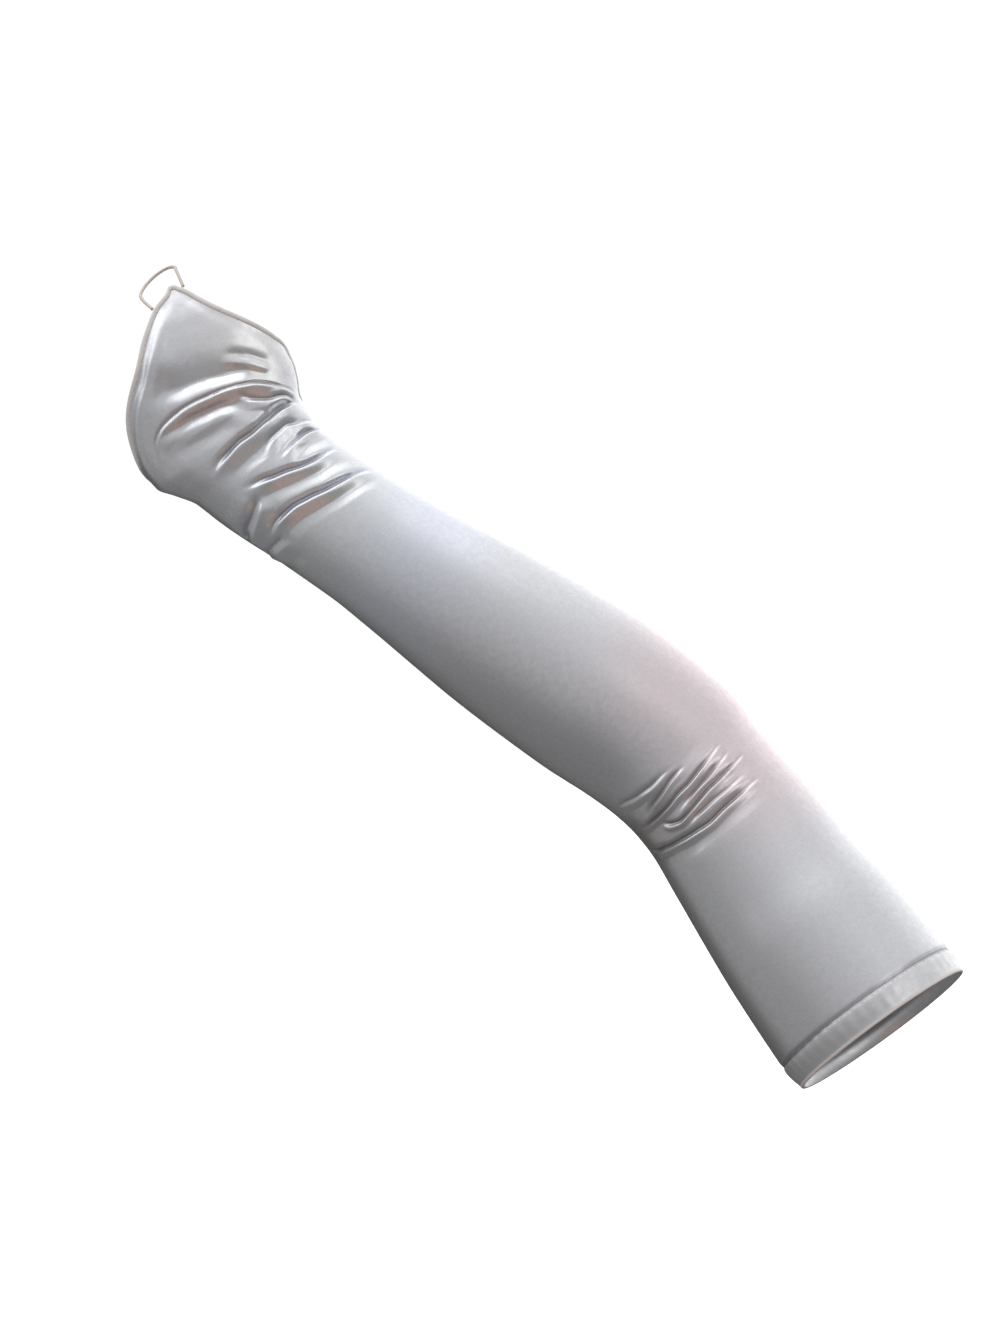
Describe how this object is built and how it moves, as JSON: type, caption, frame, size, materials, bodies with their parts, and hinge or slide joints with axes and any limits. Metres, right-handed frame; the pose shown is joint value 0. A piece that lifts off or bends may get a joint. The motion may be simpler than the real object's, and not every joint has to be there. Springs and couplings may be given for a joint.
{
  "type": "evening mitten",
  "caption": "Elbow-length fingerless satin glove for one arm, with a pointed back of the hand held by a loop round the middle finger.",
  "frame": {"origin": "middle of the wrist, where the arm that wears it holds it up", "axes": "+Z along the forearm towards the hand, -Y out of the back of the hand, +X towards the little finger's side"},
  "size_m": [0.1415, 0.1037, 0.4621],
  "materials": {
    "satin": "silver-white stretch satin, shiny outside and dull inside",
    "turned_satin": "the same satin, turned and sewn",
    "elastic_cord": "thin covered elastic, dull"
  },
  "bodies": {
    "root": {"sleeve": "satin", "upper_hem": "turned_satin", "hand_hem": "turned_satin", "finger_loop": "elastic_cord"}
  },
  "joints": []
}
